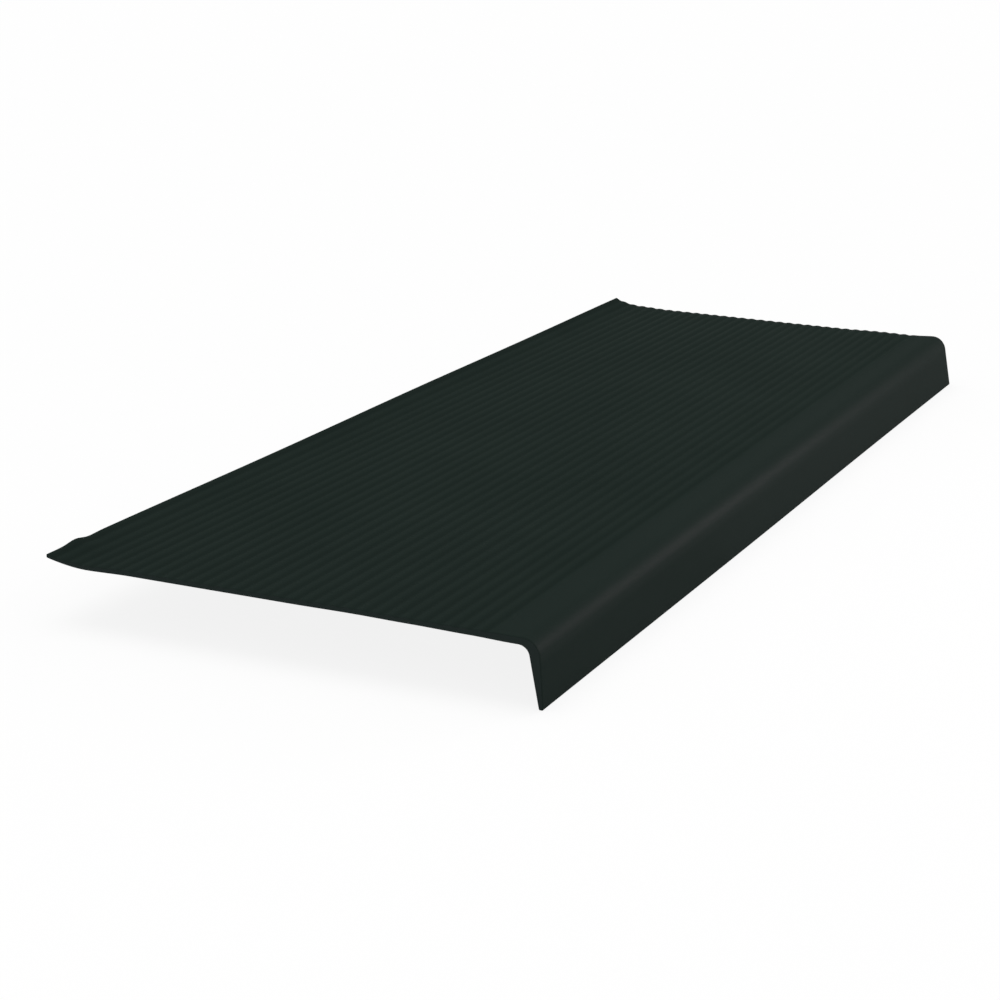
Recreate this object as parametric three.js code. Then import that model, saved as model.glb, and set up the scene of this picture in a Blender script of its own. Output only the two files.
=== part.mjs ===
// A ribbed rubber mat for one step of a stair: a level sheet with fine ribs along its length,
// a smooth band at the front, a rounded nose, and a flap that hangs over the step's front edge.
// It is moulded in one piece, and it has the same section from end to end.
//
// Frame: +X along the step, +Y towards the back of the step, +Z up.
// The origin is the centre of the flat underside that is glued to the step.

import * as THREE from 'three';

// Driving dimensions, in millimetres unless the name says degrees
const treadLength = 914.4;
const treadDepth = 311.15;
const noseDrop = 39.7;

const sheetThickness = 3.2;
const noseThickness = 4.2;
const thickeningDepth = 100;

const flapLeanDegrees = 7;
const flapRootThickness = 6.8;
const footThickness = 2.4;
const noseRadius = 11;
const innerRadius = 7;
const footRadius = 0.8;

const smoothBandDepth = 26.4;
const ribPitch = 8.73;
const ribHeight = 0.6;
const grooveSharpness = 1.3;

const lipDepth = 27;
const lipRise = 3.9;
const lipEdgeThickness = 2.3;

// Fineness of the faceted surface
const facetsPerRib = 12;
const facetsPerLip = 12;
const facetsPerHalfCorner = 5;

// The section is drawn with the sharp nose line at 0, the back of the step to the right
// and the underside of the sheet at height 0.
const leanPerHeight = Math.tan(THREE.MathUtils.degToRad(flapLeanDegrees));
const footHeight = noseThickness - noseDrop;
const rearEdge = treadDepth - noseDrop * leanPerHeight;
const lipStart = rearEdge - lipDepth;

const noseCorner = new THREE.Vector2(0, noseThickness);
const outerFoot = new THREE.Vector2(-noseDrop * leanPerHeight, footHeight);
const innerFoot = new THREE.Vector2(outerFoot.x + footThickness, footHeight);
const innerCorner = new THREE.Vector2(flapRootThickness - noseThickness * leanPerHeight, 0);

// How far the underside has curled up at a distance behind the nose: nothing, then a soft curve.
function curl(back) {
  const share = Math.max(0, (back - lipStart) / lipDepth);
  return lipRise * share * share;
}

// The sheet is thickest at the nose and thinnest at the edge of the lip.
function thickness(back) {
  const towardsNose = THREE.MathUtils.clamp(1 - back / thickeningDepth, 0, 1);
  const towardsEdge = THREE.MathUtils.clamp((back - lipStart) / lipDepth, 0, 1);
  const eased = THREE.MathUtils.smoothstep(towardsNose, 0, 1);
  const atFront = (noseThickness - sheetThickness) * eased;
  const atBack = (sheetThickness - lipEdgeThickness) * towardsEdge;
  return sheetThickness + atFront - atBack;
}

// Ribs follow one another as a soft wave, with the grooves a little narrower than the ribs.
function grooveDepth(back) {
  if (back <= smoothBandDepth) return 0;
  const wave = Math.sin(Math.PI * (back - smoothBandDepth) / ribPitch) ** 2;
  return ribHeight * wave ** grooveSharpness;
}

function topHeight(back) {
  return curl(back) + thickness(back) - grooveDepth(back);
}

// Draws up to a corner, rounds it, and is then on its way to the point beyond it.
function roundCorner(outline, corner, beyond, radius) {
  const arriving = corner.clone().sub(outline.currentPoint).normalize();
  const leaving = beyond.clone().sub(corner).normalize();
  const turn = Math.atan2(arriving.cross(leaving), arriving.dot(leaving));
  const setback = radius * Math.tan(Math.abs(turn) / 2);
  const inward = new THREE.Vector2(-arriving.y, arriving.x).multiplyScalar(Math.sign(turn));
  const centre = corner.clone().addScaledVector(arriving, -setback).addScaledVector(inward, radius);
  const start = inward.negate().angle();
  outline.absarc(centre.x, centre.y, radius, start, start + turn, turn < 0);
}

// The ribbed top and the smooth band in front of it, from the nose to the rear edge.
function drawTop(outline) {
  const step = ribPitch / facetsPerRib;
  outline.lineTo(smoothBandDepth, topHeight(smoothBandDepth));
  for (let back = smoothBandDepth + step; back < rearEdge - step / 2; back += step) {
    outline.lineTo(back, topHeight(back));
  }
  outline.lineTo(rearEdge, topHeight(rearEdge));
}

// The underside of the curled lip, from the rear edge back to the flat underside.
function drawLipUnderside(outline) {
  for (let facet = facetsPerLip; facet >= 0; facet -= 1) {
    const back = lipStart + lipDepth * facet / facetsPerLip;
    outline.lineTo(back, curl(back));
  }
}

// The closed outline of the section, clockwise from the middle of the flap's outer face.
function drawSection() {
  const outline = new THREE.Shape();
  const faceMiddle = outerFoot.clone().lerp(noseCorner, 0.5);
  const bandBack = new THREE.Vector2(smoothBandDepth, topHeight(smoothBandDepth));
  const softFoot = Math.min(footRadius, 0.4 * footThickness);

  outline.moveTo(faceMiddle.x, faceMiddle.y);
  roundCorner(outline, noseCorner, bandBack, noseRadius);
  drawTop(outline);
  drawLipUnderside(outline);
  roundCorner(outline, innerCorner, innerFoot, innerRadius);
  roundCorner(outline, innerFoot, outerFoot, softFoot);
  roundCorner(outline, outerFoot, faceMiddle, softFoot);
  outline.closePath();
  return outline;
}

// Middle of the flat underside, between the round of the inner corner and the start of the lip
function flatMiddle() {
  const down = innerFoot.clone().sub(innerCorner);
  const turn = Math.atan2(-down.y, -down.x);
  const flatStart = innerCorner.x + innerRadius * Math.tan(turn / 2);
  return (flatStart + lipStart) / 2;
}

function makeMat() {
  const geometry = new THREE.ExtrudeGeometry(drawSection(), {
    depth: treadLength,
    bevelEnabled: false,
    curveSegments: facetsPerHalfCorner,
  });
  const rubber = new THREE.MeshStandardMaterial({ color: 0x232b28, roughness: 0.6, metalness: 0 });
  const mat = new THREE.Mesh(geometry, rubber);
  mat.name = 'stair_tread_mat';

  // The section's width runs along +Y, its height along +Z, and it is drawn out along +X.
  const alongBack = new THREE.Vector3(0, 1, 0);
  const alongHeight = new THREE.Vector3(0, 0, 1);
  const alongLength = new THREE.Vector3(1, 0, 0);
  const turned = new THREE.Matrix4().makeBasis(alongBack, alongHeight, alongLength);
  mat.quaternion.setFromRotationMatrix(turned);
  mat.position.set(-treadLength / 2, -flatMiddle(), 0);
  return mat;
}

const stairTread = new THREE.Group();
stairTread.add(makeMat());

export default stairTread;
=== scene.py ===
# %% [markdown]
# A ribbed rubber mat for one step of a stair. The real thing is one moulding: a thin sheet with fine ribs that
# lies on the step, a smooth band at the front, a rounded nose, and a flap that hangs over the step's edge.
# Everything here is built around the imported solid, in metres, so the first step loads it and keeps its box.
# Nothing is fitted afterwards: a point of the mat has the same place here as on the solid.

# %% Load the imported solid
import math

import bmesh
import bpy
from mathutils import Matrix, Quaternion, Vector


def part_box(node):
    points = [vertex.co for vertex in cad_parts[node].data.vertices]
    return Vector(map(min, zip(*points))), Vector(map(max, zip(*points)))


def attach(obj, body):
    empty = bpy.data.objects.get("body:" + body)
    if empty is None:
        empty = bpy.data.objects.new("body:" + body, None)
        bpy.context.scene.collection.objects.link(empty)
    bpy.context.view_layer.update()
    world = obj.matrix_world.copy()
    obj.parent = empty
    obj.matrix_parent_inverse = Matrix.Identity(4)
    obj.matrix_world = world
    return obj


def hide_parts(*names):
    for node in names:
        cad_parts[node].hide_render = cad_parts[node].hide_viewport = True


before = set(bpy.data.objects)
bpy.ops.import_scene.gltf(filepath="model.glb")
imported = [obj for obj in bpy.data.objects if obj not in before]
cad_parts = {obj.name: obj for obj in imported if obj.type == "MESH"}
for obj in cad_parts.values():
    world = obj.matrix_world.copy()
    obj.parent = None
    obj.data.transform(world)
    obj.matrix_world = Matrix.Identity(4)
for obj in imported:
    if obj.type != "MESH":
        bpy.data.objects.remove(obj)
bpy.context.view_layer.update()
mat_low, mat_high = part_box("stair_tread_mat")
mm = 0.001
print("solid box in mm", [round(v / mm, 1) for v in (*mat_low, *mat_high)])

# %% [markdown]
# The mat's whole form is its section, the shape that shows on its cut end. It could be drawn as a list of
# points, but a list is hard to change, and it hides why each point is there. Instead the section is worked out
# from the sizes that a moulder would ask for. Distances run back from the sharp nose line, and heights run up
# from the underside of the sheet. The first sizes place the nose, the ribs and the curled lip at the rear.

# %% Main sizes of the section
mat_depth = 311.15 * mm
nose_drop = 39.7 * mm
flap_lean = math.radians(7)
smooth_band = 26.4 * mm
rib_pitch = 8.73 * mm
lip_depth = 27 * mm

foot_reach = nose_drop * math.tan(flap_lean)
rear_edge = mat_depth - foot_reach
lip_start = rear_edge - lip_depth
nose_line = mat_high.y - rear_edge
rib_count = math.floor((rear_edge - smooth_band) / rib_pitch)
print("whole ribs", rib_count, "nose line at y", round(nose_line / mm, 2), "mm")

# %% [markdown]
# Three small functions give the sheet's height at any distance behind the nose: how far the rear lip has curled
# up, how thick the rubber is, and how deep the groove is. The ribs are a soft wave. A plain sine would make
# grooves and ribs the same width, and on the mat the grooves are narrower, so the wave is raised to a power.

# %% Height of the sheet behind the nose
sheet_thickness = 3.2 * mm
nose_thickness = 4.2 * mm
thickening_depth = 100 * mm
lip_rise = 3.9 * mm
lip_edge = 2.3 * mm
rib_height = 0.6 * mm
groove_sharpness = 1.3


def smooth(share):
    share = min(max(share, 0), 1)
    return share * share * (3 - 2 * share)


def lip_share(back):
    """0 up to the start of the lip, and 1 at the rear edge."""
    return min(max((back - lip_start) / lip_depth, 0), 1)


def curl(back):
    return lip_rise * lip_share(back) ** 2


def thickness(back):
    front = (nose_thickness - sheet_thickness) * smooth(1 - back / thickening_depth)
    return sheet_thickness + front - (sheet_thickness - lip_edge) * lip_share(back)


def hollow(back):
    """How deep in a groove a point is: 0 on a rib or the smooth band, 1 at the bottom of a groove."""
    if back <= smooth_band:
        return 0
    wave = math.sin(math.pi * (back - smooth_band) / rib_pitch) ** 2
    return wave ** groove_sharpness


def top_height(back):
    return curl(back) + thickness(back) - rib_height * hollow(back)


print("top at the first rib, mid sheet and rear edge in mm",
      [round(top_height(back) / mm, 2) for back in (smooth_band, rear_edge / 2, rear_edge)])

# %% [markdown]
# The outline is built as pairs of points that face each other across the rubber: one on the worn side, one on
# the glued side. Pairs run from the rear edge over the ribs, round the nose and down to the foot. That makes the
# two cut ends easy to close later, with one neat four-sided face between each pair and the next. A single face
# with a thousand corners would close them too, but it shades badly and slices into slivers.

# %% Pairs across the sheet
steps_per_rib = 18
band_steps = 10
edge_round = 0.7 * mm
round_steps = 5


def pinch(distance):
    """How far each side has rounded in, at a distance from a free edge of the rubber."""
    gap = max(0, edge_round - distance)
    return edge_round - math.sqrt(edge_round ** 2 - gap ** 2)


def from_edge(step):
    """Distance from a free edge. The steps get shorter towards the edge, so its rounding stays smooth."""
    return edge_round * (1 - math.cos(math.pi / 2 * step / round_steps))


def sheet_pairs(front_end):
    """Each pair is the upper point, the lower point, and how deep in a groove the upper one is."""
    backs = [rear_edge - from_edge(step) for step in range(round_steps)]
    place = rear_edge - edge_round
    while place > smooth_band:
        backs.append(place)
        place -= rib_pitch / steps_per_rib
    for step in range(band_steps + 1):
        backs.append(smooth_band + (front_end - smooth_band) * step / band_steps)
    pairs = []
    for back in backs:
        soft = pinch(rear_edge - back)
        pairs.append(((back, top_height(back) - soft), (back, curl(back) + soft), hollow(back)))
    return pairs


print("steps across a rib", steps_per_rib, "each", round(rib_pitch / steps_per_rib / mm, 2), "mm")

# %% [markdown]
# The nose is two arcs with different centres: a large one outside and a smaller one inside, so the rubber is
# thickest right at the corner, where feet land. Both are tangent to the sheet and to the flap, because a moulded
# corner has no crease. The flap leans forward and thins towards its foot.

# %% Pairs round the nose and down the flap
nose_radius = 11 * mm
inner_radius = 7 * mm
flap_root = 6.8 * mm
foot_thickness = 2.4 * mm
corner_steps = 20
flap_steps = 14


def arc(centre, radius, end_angle):
    turn = end_angle - math.pi / 2
    angles = [math.pi / 2 + turn * step / corner_steps for step in range(corner_steps + 1)]
    return [(centre[0] + radius * math.cos(a), centre[1] + radius * math.sin(a)) for a in angles]


def flap_side(start, end, inwards):
    """One face of the flap, from the end of the nose's arc to the foot, where it is rounded in."""
    length = math.dist(start, end)
    runs = [length - from_edge(step) for step in range(round_steps, -1, -1)]
    runs = [runs[0] * step / flap_steps for step in range(1, flap_steps)] + runs
    line = [tuple(a + (b - a) * run / length for a, b in zip(start, end)) for run in runs]
    return [(back + inwards * pinch(length - run), height) for (back, height), run in zip(line, runs)]


def nose_pairs():
    foot_height = nose_thickness - nose_drop
    outer_foot = (-foot_reach, foot_height)
    inner_foot = (outer_foot[0] + foot_thickness, foot_height)
    inner_corner = flap_root - nose_thickness * math.tan(flap_lean)
    inner_lean = math.atan2(inner_corner - inner_foot[0], -foot_height)

    outer_back = nose_radius * (1 - math.sin(flap_lean)) / math.cos(flap_lean)
    inner_back = inner_corner + inner_radius * math.tan((math.pi / 2 - inner_lean) / 2)
    outside = arc((outer_back, top_height(outer_back) - nose_radius), nose_radius, math.pi - flap_lean)
    inside = arc((inner_back, -inner_radius), inner_radius, math.pi - inner_lean)

    outside += flap_side(outside[-1], outer_foot, 1)
    inside += flap_side(inside[-1], inner_foot, -1)
    return [(outer, inner, 0) for outer, inner in zip(outside, inside)], inner_back


corner_pairs, flat_start = nose_pairs()
pairs = sheet_pairs(flat_start) + corner_pairs
print("pairs across the rubber", len(pairs), "flat underside from", round(flat_start / mm, 2), "mm")

# %% [markdown]
# The two sides joined end to end make one closed outline. To round the cut ends a little, the last few copies of
# the outline are shrunk: each point moves straight into the rubber, along the outline's own normal. Scaling the
# outline would not do, because a long thin shape would shrink a lot in length and hardly at all in thickness.

# %% Closed outline and its inward normals
outline = [outer for outer, _, _ in pairs] + [inner for _, inner, _ in reversed(pairs)]
hollows = [depth for _, _, depth in pairs] + [0] * len(pairs)


def inward_normals(points):
    normals = []
    for k in range(len(points)):
        before, after = points[k - 1], points[(k + 1) % len(points)]
        along = Vector((after[0] - before[0], after[1] - before[1])).normalized()
        normals.append(Vector((-along.y, along.x)))
    return normals


inward = inward_normals(outline)
area = sum(a[0] * b[1] - b[0] * a[1] for a, b in zip(outline, outline[1:] + outline[:1])) / 2
print("section area", round(area / mm ** 2), "square mm")

# %% [markdown]
# The nose and the flap are glossier than the ribs, as if the mould had been smoother there. How glossy a point
# is follows from its tilt: 0 degrees faces up, as the smooth band does, and the flap is at 83. The gloss rises
# from the band to the flap, and has a hump round the nose that fades away over the top of the flap. It is worked
# out for both ends, because the hump is strong and wide at the near end and weak at the far one. It could be
# painted by hand instead, but the tilt moves with the form when a size changes.

# %% Gloss of the moulded skin
band_polish = 0.1
full_skin_tilt = 50
nose_foot, hump_fade = -5.5 * mm, 5 * mm
near_polish = {"peak": 61, "flap_reach": 50, "band_reach": 90, "strength": 0.58, "flap_polish": 0.50}
far_polish = {"peak": 68, "flap_reach": 26, "band_reach": 40, "strength": 0.31, "flap_polish": 0.62}


def polish(k, peak, flap_reach, band_reach, strength, flap_polish):
    """How glossy a point of the outline is: 0 on the ribs and the glued side, and about 1 round the nose."""
    back, height = outline[k]
    if k >= len(pairs) or back > smooth_band:
        return 0
    tilt = math.degrees(math.atan2(inward[k].x, -inward[k].y))
    skin = band_polish + (flap_polish - band_polish) * smooth(tilt / full_skin_tilt)
    hump = smooth(1 - abs(tilt - peak) / (flap_reach if tilt > peak else band_reach))
    return skin + strength * hump * smooth(1 - max(0, nose_foot - height) / hump_fade)


polishes = [(polish(k, **near_polish), polish(k, **far_polish)) for k in range(len(outline))]
print("highest gloss at the near and the far end", [round(max(end), 2) for end in zip(*polishes)])

# %% [markdown]
# Now the outline is drawn out along the mat's length as rings. A modifier could extrude it in one step, but then
# nothing could change on the way. A few close rings at each end are shrunk, which rounds the cut edges. The
# rings are closer together along the first 60 mm, where the rear corner has a small wave.

# %% Places of the rings along the length
half_length = mat_high.x
end_round = 0.45 * mm
end_steps = 3
end_zone = 2 * mm
corner_length, corner_rings = 60 * mm, 20
body_rings = 42


def ring_places():
    """Each ring's place along the length and how far it is shrunk into the rubber."""
    rounding = []
    for step in range(end_steps + 1):
        angle = math.pi / 2 * step / end_steps
        rounding.append((half_length - end_round * (1 - math.sin(angle)), end_round * (1 - math.cos(angle))))
    body_half = half_length - end_zone
    corner = [(-body_half + corner_length * step / corner_rings, 0) for step in range(corner_rings)]
    body_length = 2 * body_half - corner_length
    body = [(body_half - body_length * step / body_rings, 0) for step in range(body_rings, -1, -1)]
    near = [(-place, inset) for place, inset in reversed(rounding)]
    return near + corner + body + rounding


rings = ring_places()
print("rings", len(rings))

# %% [markdown]
# A plain extrusion would look like steel. Rubber relaxes after moulding, and this mat shows it most at its two
# ends: at the far end the flap leans out more and the rear lip curls higher than at the near end. The sheet
# doesn't lie quite flat either, so each end has a short list of stations behind the nose, in millimetres, with
# the height there above true. Everything between the ends is carried over evenly. Blender's own bend modifier
# would move the whole section together, and here each part of it moves by its own amount.

# %% Lean, lip and rise at the two ends
near_lean, far_lean = math.radians(5.9), math.radians(11.2)
near_lip, far_lip = 3.1 * mm, 6.1 * mm
near_rise = ((0, -1.0), (15, -1.0), (40, -0.45), (75, 0), (110, 0.3),
             (150, 0), (250, -0.1), (280, -0.8), (306, -0.4))
far_rise = ((0, 1.2), (10, 1.2), (24, 0.5), (60, 1.0), (90, 0.6),
            (150, 0.4), (255, 0.3), (284, 1.2), (306, 0.9))


def from_near_to_far(x, near, far):
    return near + (far - near) * (x + half_length) / (2 * half_length)


def rise(stations, back):
    """Height above true, carried smoothly from one station behind the nose to the next."""
    for (start, low), (end, high) in zip(stations, stations[1:]):
        if back <= end * mm:
            return (low + (high - low) * smooth((back / mm - start) / (end - start))) * mm
    return stations[-1][1] * mm


print("rise at mid depth in mm", [round(rise(end, rear_edge / 2) / mm, 2) for end in (near_rise, far_rise)])

# %% [markdown]
# Smaller unevenness comes on top: long waves of a tenth of a millimetre in the sheet, which fade out over the
# third nearest the nose, a slightly wandering rear lip and foot, and a small wave in the lip near the near
# corner. Noise would do for these too, but a few sines are easier to steer.

# %% Waves, and the shift of a point
sheet_drift, edge_drift = 0.12 * mm, 0.25 * mm
drift_fade = mat_depth / 3
corner_waves = ((29 * mm, 1.5 * mm), (43 * mm, -0.5 * mm))
corner_wave_width = 9 * mm


def sheet_wave(x, back):
    return math.sin(5.1 * x + 0.7) + 0.6 * math.sin(11.3 * x - 9 * back + 2.1)


def lip_wave(x):
    return math.sin(14.7 * x + 1.3)


def foot_wave(x):
    return math.sin(9.2 * x - 0.4)


def corner_wave(x):
    return sum(size * math.exp(-((x + half_length - place) / corner_wave_width) ** 2)
               for place, size in corner_waves)


def settle(x, back, height):
    """A point's small shift sideways and upwards, at its place on the mat."""
    free_lip = lip_share(back)
    hang = max(0, -height) / (nose_drop - nose_thickness)
    lean = from_near_to_far(x, near_lean, far_lean)
    push = hang * (edge_drift * foot_wave(x) - (math.tan(lean) - math.tan(flap_lean)) * nose_drop)

    lift = sheet_drift * sheet_wave(x, back) * smooth(back / drift_fade)
    lift += edge_drift * free_lip * lip_wave(x)
    lift += free_lip ** 2 * (from_near_to_far(x, near_lip, far_lip) - lip_rise + corner_wave(x))
    lift += (1 - hang) * from_near_to_far(x, rise(near_rise, back), rise(far_rise, back))
    return push, lift


both_ends = (-half_length, half_length)
print("foot moves by", [round(settle(x, 0, -nose_drop)[0] / mm, 2) for x in both_ends], "mm,",
      "lip by", [round(settle(x, rear_edge, 0)[1] / mm, 2) for x in both_ends], "mm at the two ends")

# %% [markdown]
# The mesh itself is made point by point. Three numbers are stored on each point for the finish to read: how much
# painted shade its groove gets, how far it lies in on a rounded cut end, and how glossy it is. Painting them
# from the geometry is surer than guessing them later from curvature.

# %% Points of the mesh
# Painted shade in the grooves: this share of the near end's shade is left at the far end.
far_groove_shade = 0.2


def add_points(work):
    """One row of points for each ring."""
    painted_groove_shade = work.verts.layers.float.new("painted_groove_shade")
    on_cut_end = work.verts.layers.float.new("on_cut_end")
    polished = work.verts.layers.float.new("polished")
    rows = []
    for x, inset in rings:
        row = []
        for (back, height), into, depth, shine in zip(outline, inward, hollows, polishes):
            push, lift = settle(x, back, height)
            y = nose_line + back + into.x * inset + push
            point = work.verts.new((x, y, height + into.y * inset + lift))
            # Painted shade: the deeper a point lies in a groove, the darker it is painted, fading towards the
            # far end.
            point[painted_groove_shade] = depth * from_near_to_far(x, 1, far_groove_shade)
            point[on_cut_end] = inset / end_round
            point[polished] = from_near_to_far(x, *shine)
            row.append(point)
        rows.append(row)
    return rows


work = bmesh.new()
rows = add_points(work)
print("points", len(work.verts))

# %% [markdown]
# Each ring is joined to the next by a band of four-sided faces, and the first and the last ring are closed from
# pair to pair. The result is one closed skin, shaded smooth, because moulded rubber has no sharp edges.

# %% Faces between the rings and over the two ends
def join_rings(work, rows):
    count = len(outline)
    for row, after in zip(rows, rows[1:]):
        for k in range(count):
            n = (k + 1) % count
            work.faces.new((row[k], row[n], after[n], after[k]))


def close_end(work, row, flip):
    count = len(outline)
    for k in range(len(pairs) - 1):
        corners = (row[k], row[k + 1], row[count - 2 - k], row[count - 1 - k])
        work.faces.new(reversed(corners) if flip else corners)


join_rings(work, rows)
close_end(work, rows[0], True)
close_end(work, rows[-1], False)
bmesh.ops.recalc_face_normals(work, faces=work.faces)

mesh = bpy.data.meshes.new("ribbed_rubber_mat")
work.to_mesh(mesh)
work.free()
mesh.shade_smooth()
mat = bpy.data.objects.new("ribbed_rubber_mat", mesh)
bpy.context.scene.collection.objects.link(mat)
print("faces", len(mesh.polygons))

# %% [markdown]
# A finish in Blender is a network of nodes. Written out in full, each node takes four or five lines, so a small
# helper gives every kind that this scene needs one short line. The same helper serves the rubber, the floor and
# the white room. A plain value goes on the node's own socket, and only what varies over the surface is linked.

# %% Helper for networks of nodes
class Network:
    """The nodes of one finish. Most methods add a node and give back its output, for the next one to use."""

    def __init__(self, owner):
        owner.use_nodes = True
        self.nodes, self.links = owner.node_tree.nodes, owner.node_tree.links
        self.nodes.clear()

    def feed(self, socket, value):
        """Links an output to the socket, or sets the socket itself to a number or a colour."""
        if isinstance(value, bpy.types.NodeSocket):
            self.links.new(value, socket)
        else:
            socket.default_value = (*value, 1) if isinstance(value, tuple) else value

    def add(self, kind, inputs=None):
        node = self.nodes.new(kind)
        for name, value in (inputs or {}).items():
            self.feed(node.inputs[name], value)
        return node

    def painted(self, name):
        """The number stored on the mesh's points under this name."""
        read = self.add("ShaderNodeAttribute")
        read.attribute_name = name
        return read.outputs["Fac"]

    def grain(self, where, scale, detail, roughness=0.55):
        noise = {"Vector": where, "Scale": scale, "Detail": detail, "Roughness": roughness}
        return self.add("ShaderNodeTexNoise", noise).outputs["Fac"]

    def between(self, value, low, high, to_low, to_high):
        """The value carried from one range to another, and kept inside it."""
        ends = {"From Min": low, "From Max": high, "To Min": to_low, "To Max": to_high}
        return self.add("ShaderNodeMapRange", {"Value": value, **ends}).outputs["Result"]

    def calculate(self, operation, first, second):
        step = self.add("ShaderNodeMath")
        step.operation = operation
        for socket, value in zip(step.inputs, (first, second)):
            self.feed(socket, value)
        return step.outputs["Value"]

    def blend(self, factor, first, second):
        """The first tone where the factor is 0, and the second where it is 1."""
        mix = self.add("ShaderNodeMix")
        mix.data_type = "RGBA"
        for name, value in (("Factor", factor), ("A", first), ("B", second)):
            self.feed(mix.inputs[name], value)
        return mix.outputs["Result"]

    def mix_shaders(self, factor, first, second):
        mix = self.add("ShaderNodeMixShader")
        for socket, value in zip(mix.inputs, (factor, first.outputs[0], second.outputs[0])):
            self.feed(socket, value)
        return mix


rubber = bpy.data.materials.new("dark_green_rubber")
rubber_net = Network(rubber)
print("finish", rubber.name, "starts with", len(rubber_net.nodes), "nodes")

# %% [markdown]
# The rubber is a dark green-black with a faint sheen. One flat colour would look like plastic paint, so its tone
# has layers: slow clouds from the mixing of the compound, fine specks that the mould left, painted shade in the
# grooves that is strongest at the near end, a slightly deeper skin where it is glossy, and a paler cut end.

# %% Grain and tone of the rubber
deep_green, pale_green = (0.0124, 0.0200, 0.0170), (0.0140, 0.0222, 0.0189)
speck_tone, speck_share = (0.0190, 0.0260, 0.0230), 0.35
# Painted shade: the tone that the grooves are darkened towards.
groove_shade_tone, groove_shade_share = (0.0075, 0.0125, 0.0105), 0.4
skin_tone, skin_share = (0.0106, 0.0176, 0.0150), 0.8
cut_tone, cut_share = (0.0215, 0.0290, 0.0275), 0.8

on_mat = rubber_net.add("ShaderNodeTexCoord").outputs["Object"]
clouds = rubber_net.grain(on_mat, scale=9, detail=4)
mould_grain = rubber_net.grain(on_mat, scale=900, detail=4, roughness=0.6)
pores = rubber_net.grain(on_mat, scale=2600, detail=2)
groove, cut, gloss = (rubber_net.painted(name) for name in ("painted_groove_shade", "on_cut_end", "polished"))

tone = rubber_net.blend(rubber_net.between(clouds, 0.35, 0.65, 0, 1), deep_green, pale_green)
tone = rubber_net.blend(rubber_net.between(mould_grain, 0.45, 0.75, 0, speck_share), tone, speck_tone)
# Painted shade in the grooves.
tone = rubber_net.blend(rubber_net.calculate("MULTIPLY", groove, groove_shade_share), tone, groove_shade_tone)
tone = rubber_net.blend(rubber_net.between(gloss, 0, band_polish, 0, skin_share), tone, skin_tone)
tone = rubber_net.blend(rubber_net.calculate("MULTIPLY", cut, cut_share), tone, cut_tone)
print("nodes for the tone", len(rubber_net.nodes))

# %% [markdown]
# Under a white sky the usual mirroring of rubber would wash such a dark tone out to grey, most of all at the far
# end, where the mat is seen nearly edge on. So the mirror part is kept very low on the ribs, and the painted
# gloss raises it on the flap and the nose. The roughness varies a little with the mould's grain, and the same
# grain with finer pores makes a shallow relief. Real grains would need millions of faces for no visible gain.

# %% Mirroring, roughness and relief of the rubber
ribs_mirror, skin_mirror, nose_mirror = 0.0007, 0.0046, 0.0046
half_gloss = 0.5
smoothest, roughest = 0.48, 0.54
nose_smoothness, groove_roughness = 0.015, 0.06
pore_share, relief_strength, relief_depth = 0.4, 0.35, 0.12 * mm

mirror = rubber_net.calculate("ADD",
                              rubber_net.between(gloss, 0, half_gloss, ribs_mirror, skin_mirror),
                              rubber_net.between(gloss, half_gloss, 1, 0, nose_mirror))
rough = rubber_net.between(mould_grain, 0.3, 0.7, smoothest, roughest)
rough = rubber_net.calculate("SUBTRACT", rough, rubber_net.calculate("MULTIPLY", gloss, nose_smoothness))
rough = rubber_net.calculate("ADD", rough, rubber_net.calculate("MULTIPLY", groove, groove_roughness))
bumps = rubber_net.calculate("ADD", mould_grain, rubber_net.calculate("MULTIPLY", pores, pore_share))
relief = rubber_net.add("ShaderNodeBump", {
    "Strength": relief_strength, "Distance": relief_depth, "Height": bumps})
shader = rubber_net.add("ShaderNodeBsdfPrincipled", {
    "Base Color": tone, "Roughness": rough, "Specular IOR Level": mirror, "Normal": relief.outputs["Normal"]})
rubber_net.add("ShaderNodeOutputMaterial", {"Surface": shader.outputs["BSDF"]})
print("nodes in the rubber", len(rubber_net.nodes))

# %% [markdown]
# The mat is one moulding glued to the step, so it rides on the root body and takes the place of the one solid
# in the frame, with the rubber finish.

# %% Put the mat in the place of the solid
mat.data.materials.append(rubber)
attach(mat, "root")
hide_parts("stair_tread_mat")
print("finish", mat.data.materials[0].name)

# %% [markdown]
# The floor is a plain white sweep at the height of the flap's foot. It could be lit until it clips to white, but
# that much light would bleach the rubber too. Instead it is a white paint that takes the shadow, mixed with a
# white glow that only the camera, mirrored rays and rays through glass see. From below the floor is clear, so
# that the underside can be looked at as well.

# %% Floor
floor_size = 28.0
floor_gap = 0.2 * mm
floor_height = mat_low.z - floor_gap
floor_white = (0.96, 0.96, 0.96)
glow_share = 0.87


def seen_directly(net):
    """1 for rays from the camera, off mirrors or through glass, and 0 for the light that falls on things."""
    path = net.add("ShaderNodeLightPath").outputs
    direct = net.calculate("MAXIMUM", path["Is Camera Ray"], path["Is Glossy Ray"])
    return net.calculate("MAXIMUM", direct, path["Is Transmission Ray"])


def make_floor_finish():
    finish = bpy.data.materials.new("white_floor")
    net = Network(finish)
    paint = net.add("ShaderNodeBsdfDiffuse", {"Color": floor_white})
    glow = net.add("ShaderNodeEmission", {"Strength": 1.0})
    white = net.mix_shaders(net.calculate("MULTIPLY", seen_directly(net), glow_share), paint, glow)
    from_below = net.add("ShaderNodeNewGeometry").outputs["Backfacing"]
    both = net.mix_shaders(from_below, white, net.add("ShaderNodeBsdfTransparent"))
    net.add("ShaderNodeOutputMaterial", {"Surface": both.outputs[0]})
    return finish


bpy.ops.mesh.primitive_plane_add(size=floor_size, location=(0, 0, floor_height))
floor = bpy.context.object
floor.name = "floor"
floor.data.materials.append(make_floor_finish())
print("floor at", round(floor_height / mm, 1), "mm")

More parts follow.
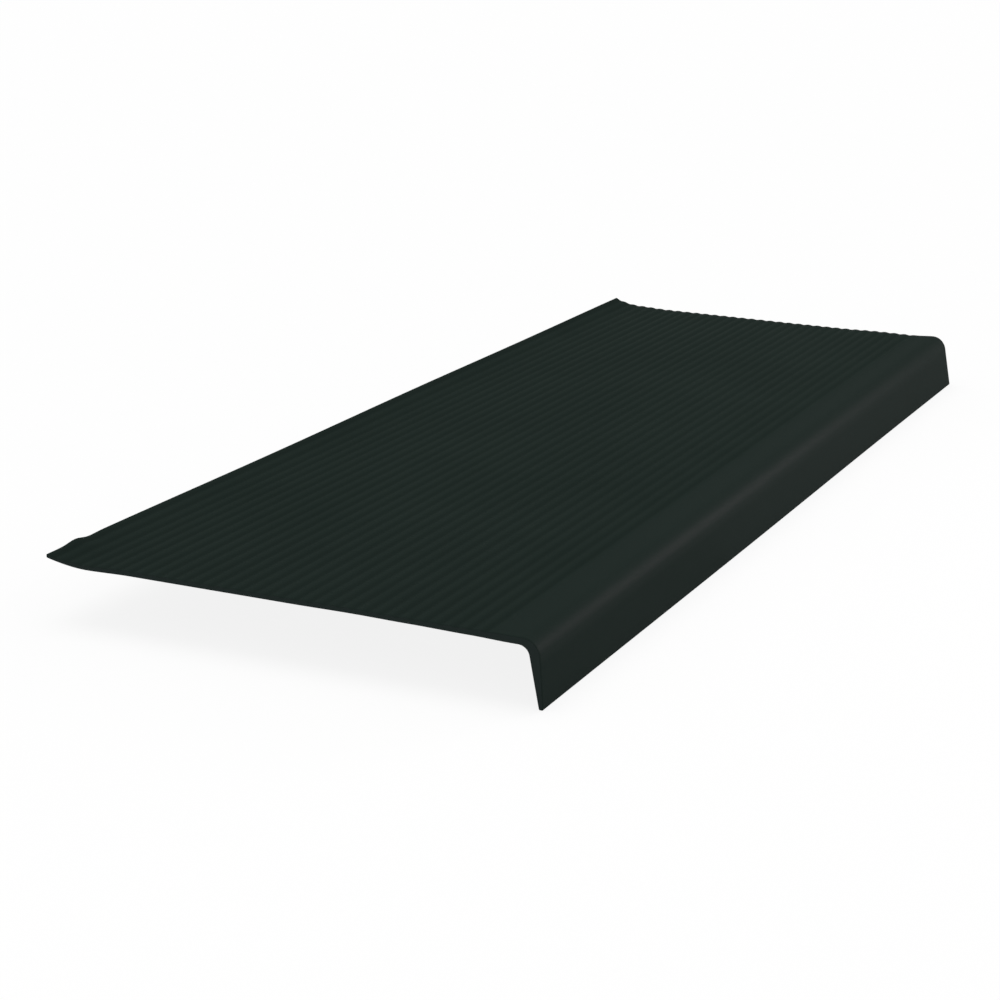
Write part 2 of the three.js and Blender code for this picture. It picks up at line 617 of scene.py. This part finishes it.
# %% [markdown]
# The surroundings are a white room. What falls on the mat from it is only about half as strong as what the
# camera sees, so that the background is white and the rubber's colour renders about as it is written.

# %% White room
ambient = 0.55

room = bpy.data.worlds.new("white_room")
room_net = Network(room)
brightness = room_net.between(seen_directly(room_net), 0, 1, ambient, 1.0)
walls = room_net.add("ShaderNodeBackground", {"Color": (1, 1, 1), "Strength": brightness})
room_net.add("ShaderNodeOutputWorld", {"Surface": walls.outputs["Background"]})
bpy.context.scene.world = room
print("light from the room", ambient)

# %% [markdown]
# Two lamps add to the light of the room. The first is a distant one with a broad face, high above, and it gives
# the ribs their form. A lamp just overhead could do that too, but its light would fall off along the mat, and a
# distant one is equally strong all over the floor.

# %% Overhead lamp
def direction(azimuth, elevation):
    """Azimuth 0 is +X, along the step, and 90 is +Y, its back."""
    a, e = math.radians(azimuth), math.radians(elevation)
    return Vector((math.cos(e) * math.cos(a), math.cos(e) * math.sin(a), math.sin(e)))


def hang_lamp(lamp, turn):
    """Puts a lamp in the scene. Its light falls along its own -Z, so the turn points +Z back at where it is."""
    holder = bpy.data.objects.new(lamp.name, lamp)
    holder.rotation_mode = "QUATERNION"
    holder.rotation_quaternion = turn
    bpy.context.scene.collection.objects.link(holder)
    return holder


overhead = bpy.data.lights.new("overhead_lamp", "SUN")
overhead.energy = 1.4
overhead.angle = math.radians(50)
hang_lamp(overhead, direction(60, 75).to_track_quat("Z", "Y"))
print("overhead lamp", overhead.energy, "with a face of", round(math.degrees(overhead.angle)), "degrees")

# %% [markdown]
# The pale line along the nose is the mirror image of the second lamp, so that one has to stand where the line's
# tilt sends the camera's view: low, beyond the far end and on the flap's side. It is a tall strip that leans
# over, with a narrow beam aimed just before the near end, so the line is clear there and fades towards the far
# end. A distant lamp would draw the line equally strong all along.

# %% Strip lamp for the nose
near_nose = Vector((mat_low.x, nose_line, 0))
strip_place = near_nose + Vector((1.75, -0.88, 0.32))
strip_target = near_nose - Vector((0.25, 0, 0))
strip_lean = math.radians(-38)

strip = bpy.data.lights.new("nose_strip_lamp", "AREA")
strip.shape = "RECTANGLE"
strip.size, strip.size_y = 0.5, 1.6
strip.energy = 1.2
strip.spread = math.radians(38)
strip.color = (1.0, 0.84, 0.9)
upright = (strip_place - strip_target).to_track_quat("Z", "Y")
strip_holder = hang_lamp(strip, upright @ Quaternion((0, 0, 1), strip_lean))
strip_holder.location = strip_place
strip_holder.visible_camera = False
print("strip lamp", round((strip_place - near_nose).length, 2), "m from the near end of the nose")

# %% [markdown]
# The camera stands where the photograph was taken from: low beyond the near left end, looking along the ribs.
# Its place, its three angles and its lens were solved from the outline and the rib lines of the photograph. The
# lens is long, so the far end is hardly smaller than the near one.

# %% Camera
camera_from_near_nose = Vector((-1068.3, -433.4, 398.0)) * mm
camera_heading = math.radians(23.20)
camera_down_tilt = math.radians(15.48)
camera_roll = math.radians(-1.77)
focal_in_frame_widths = 2.3246
sensor_width = 36.0

ahead = Vector((math.cos(camera_down_tilt) * math.cos(camera_heading),
                math.cos(camera_down_tilt) * math.sin(camera_heading),
                -math.sin(camera_down_tilt)))
level_right = ahead.cross(Vector((0, 0, 1))).normalized()
level_up = level_right.cross(ahead)
right = level_right * math.cos(camera_roll) - level_up * math.sin(camera_roll)
up = level_right * math.sin(camera_roll) + level_up * math.cos(camera_roll)

camera_data = bpy.data.cameras.new("camera")
camera_data.sensor_width = sensor_width
camera_data.lens = focal_in_frame_widths * sensor_width
camera = bpy.data.objects.new("camera", camera_data)
camera_turn = Matrix((right, up, -ahead)).transposed().to_4x4()
camera.matrix_world = Matrix.Translation(near_nose + camera_from_near_nose) @ camera_turn
bpy.context.scene.collection.objects.link(camera)
bpy.context.scene.camera = camera
bpy.context.scene.view_settings.view_transform = "Standard"
print("lens", round(camera_data.lens, 2), "mm, camera at", [round(v, 3) for v in camera.location])

# %% Update the scene
bpy.context.view_layer.update()
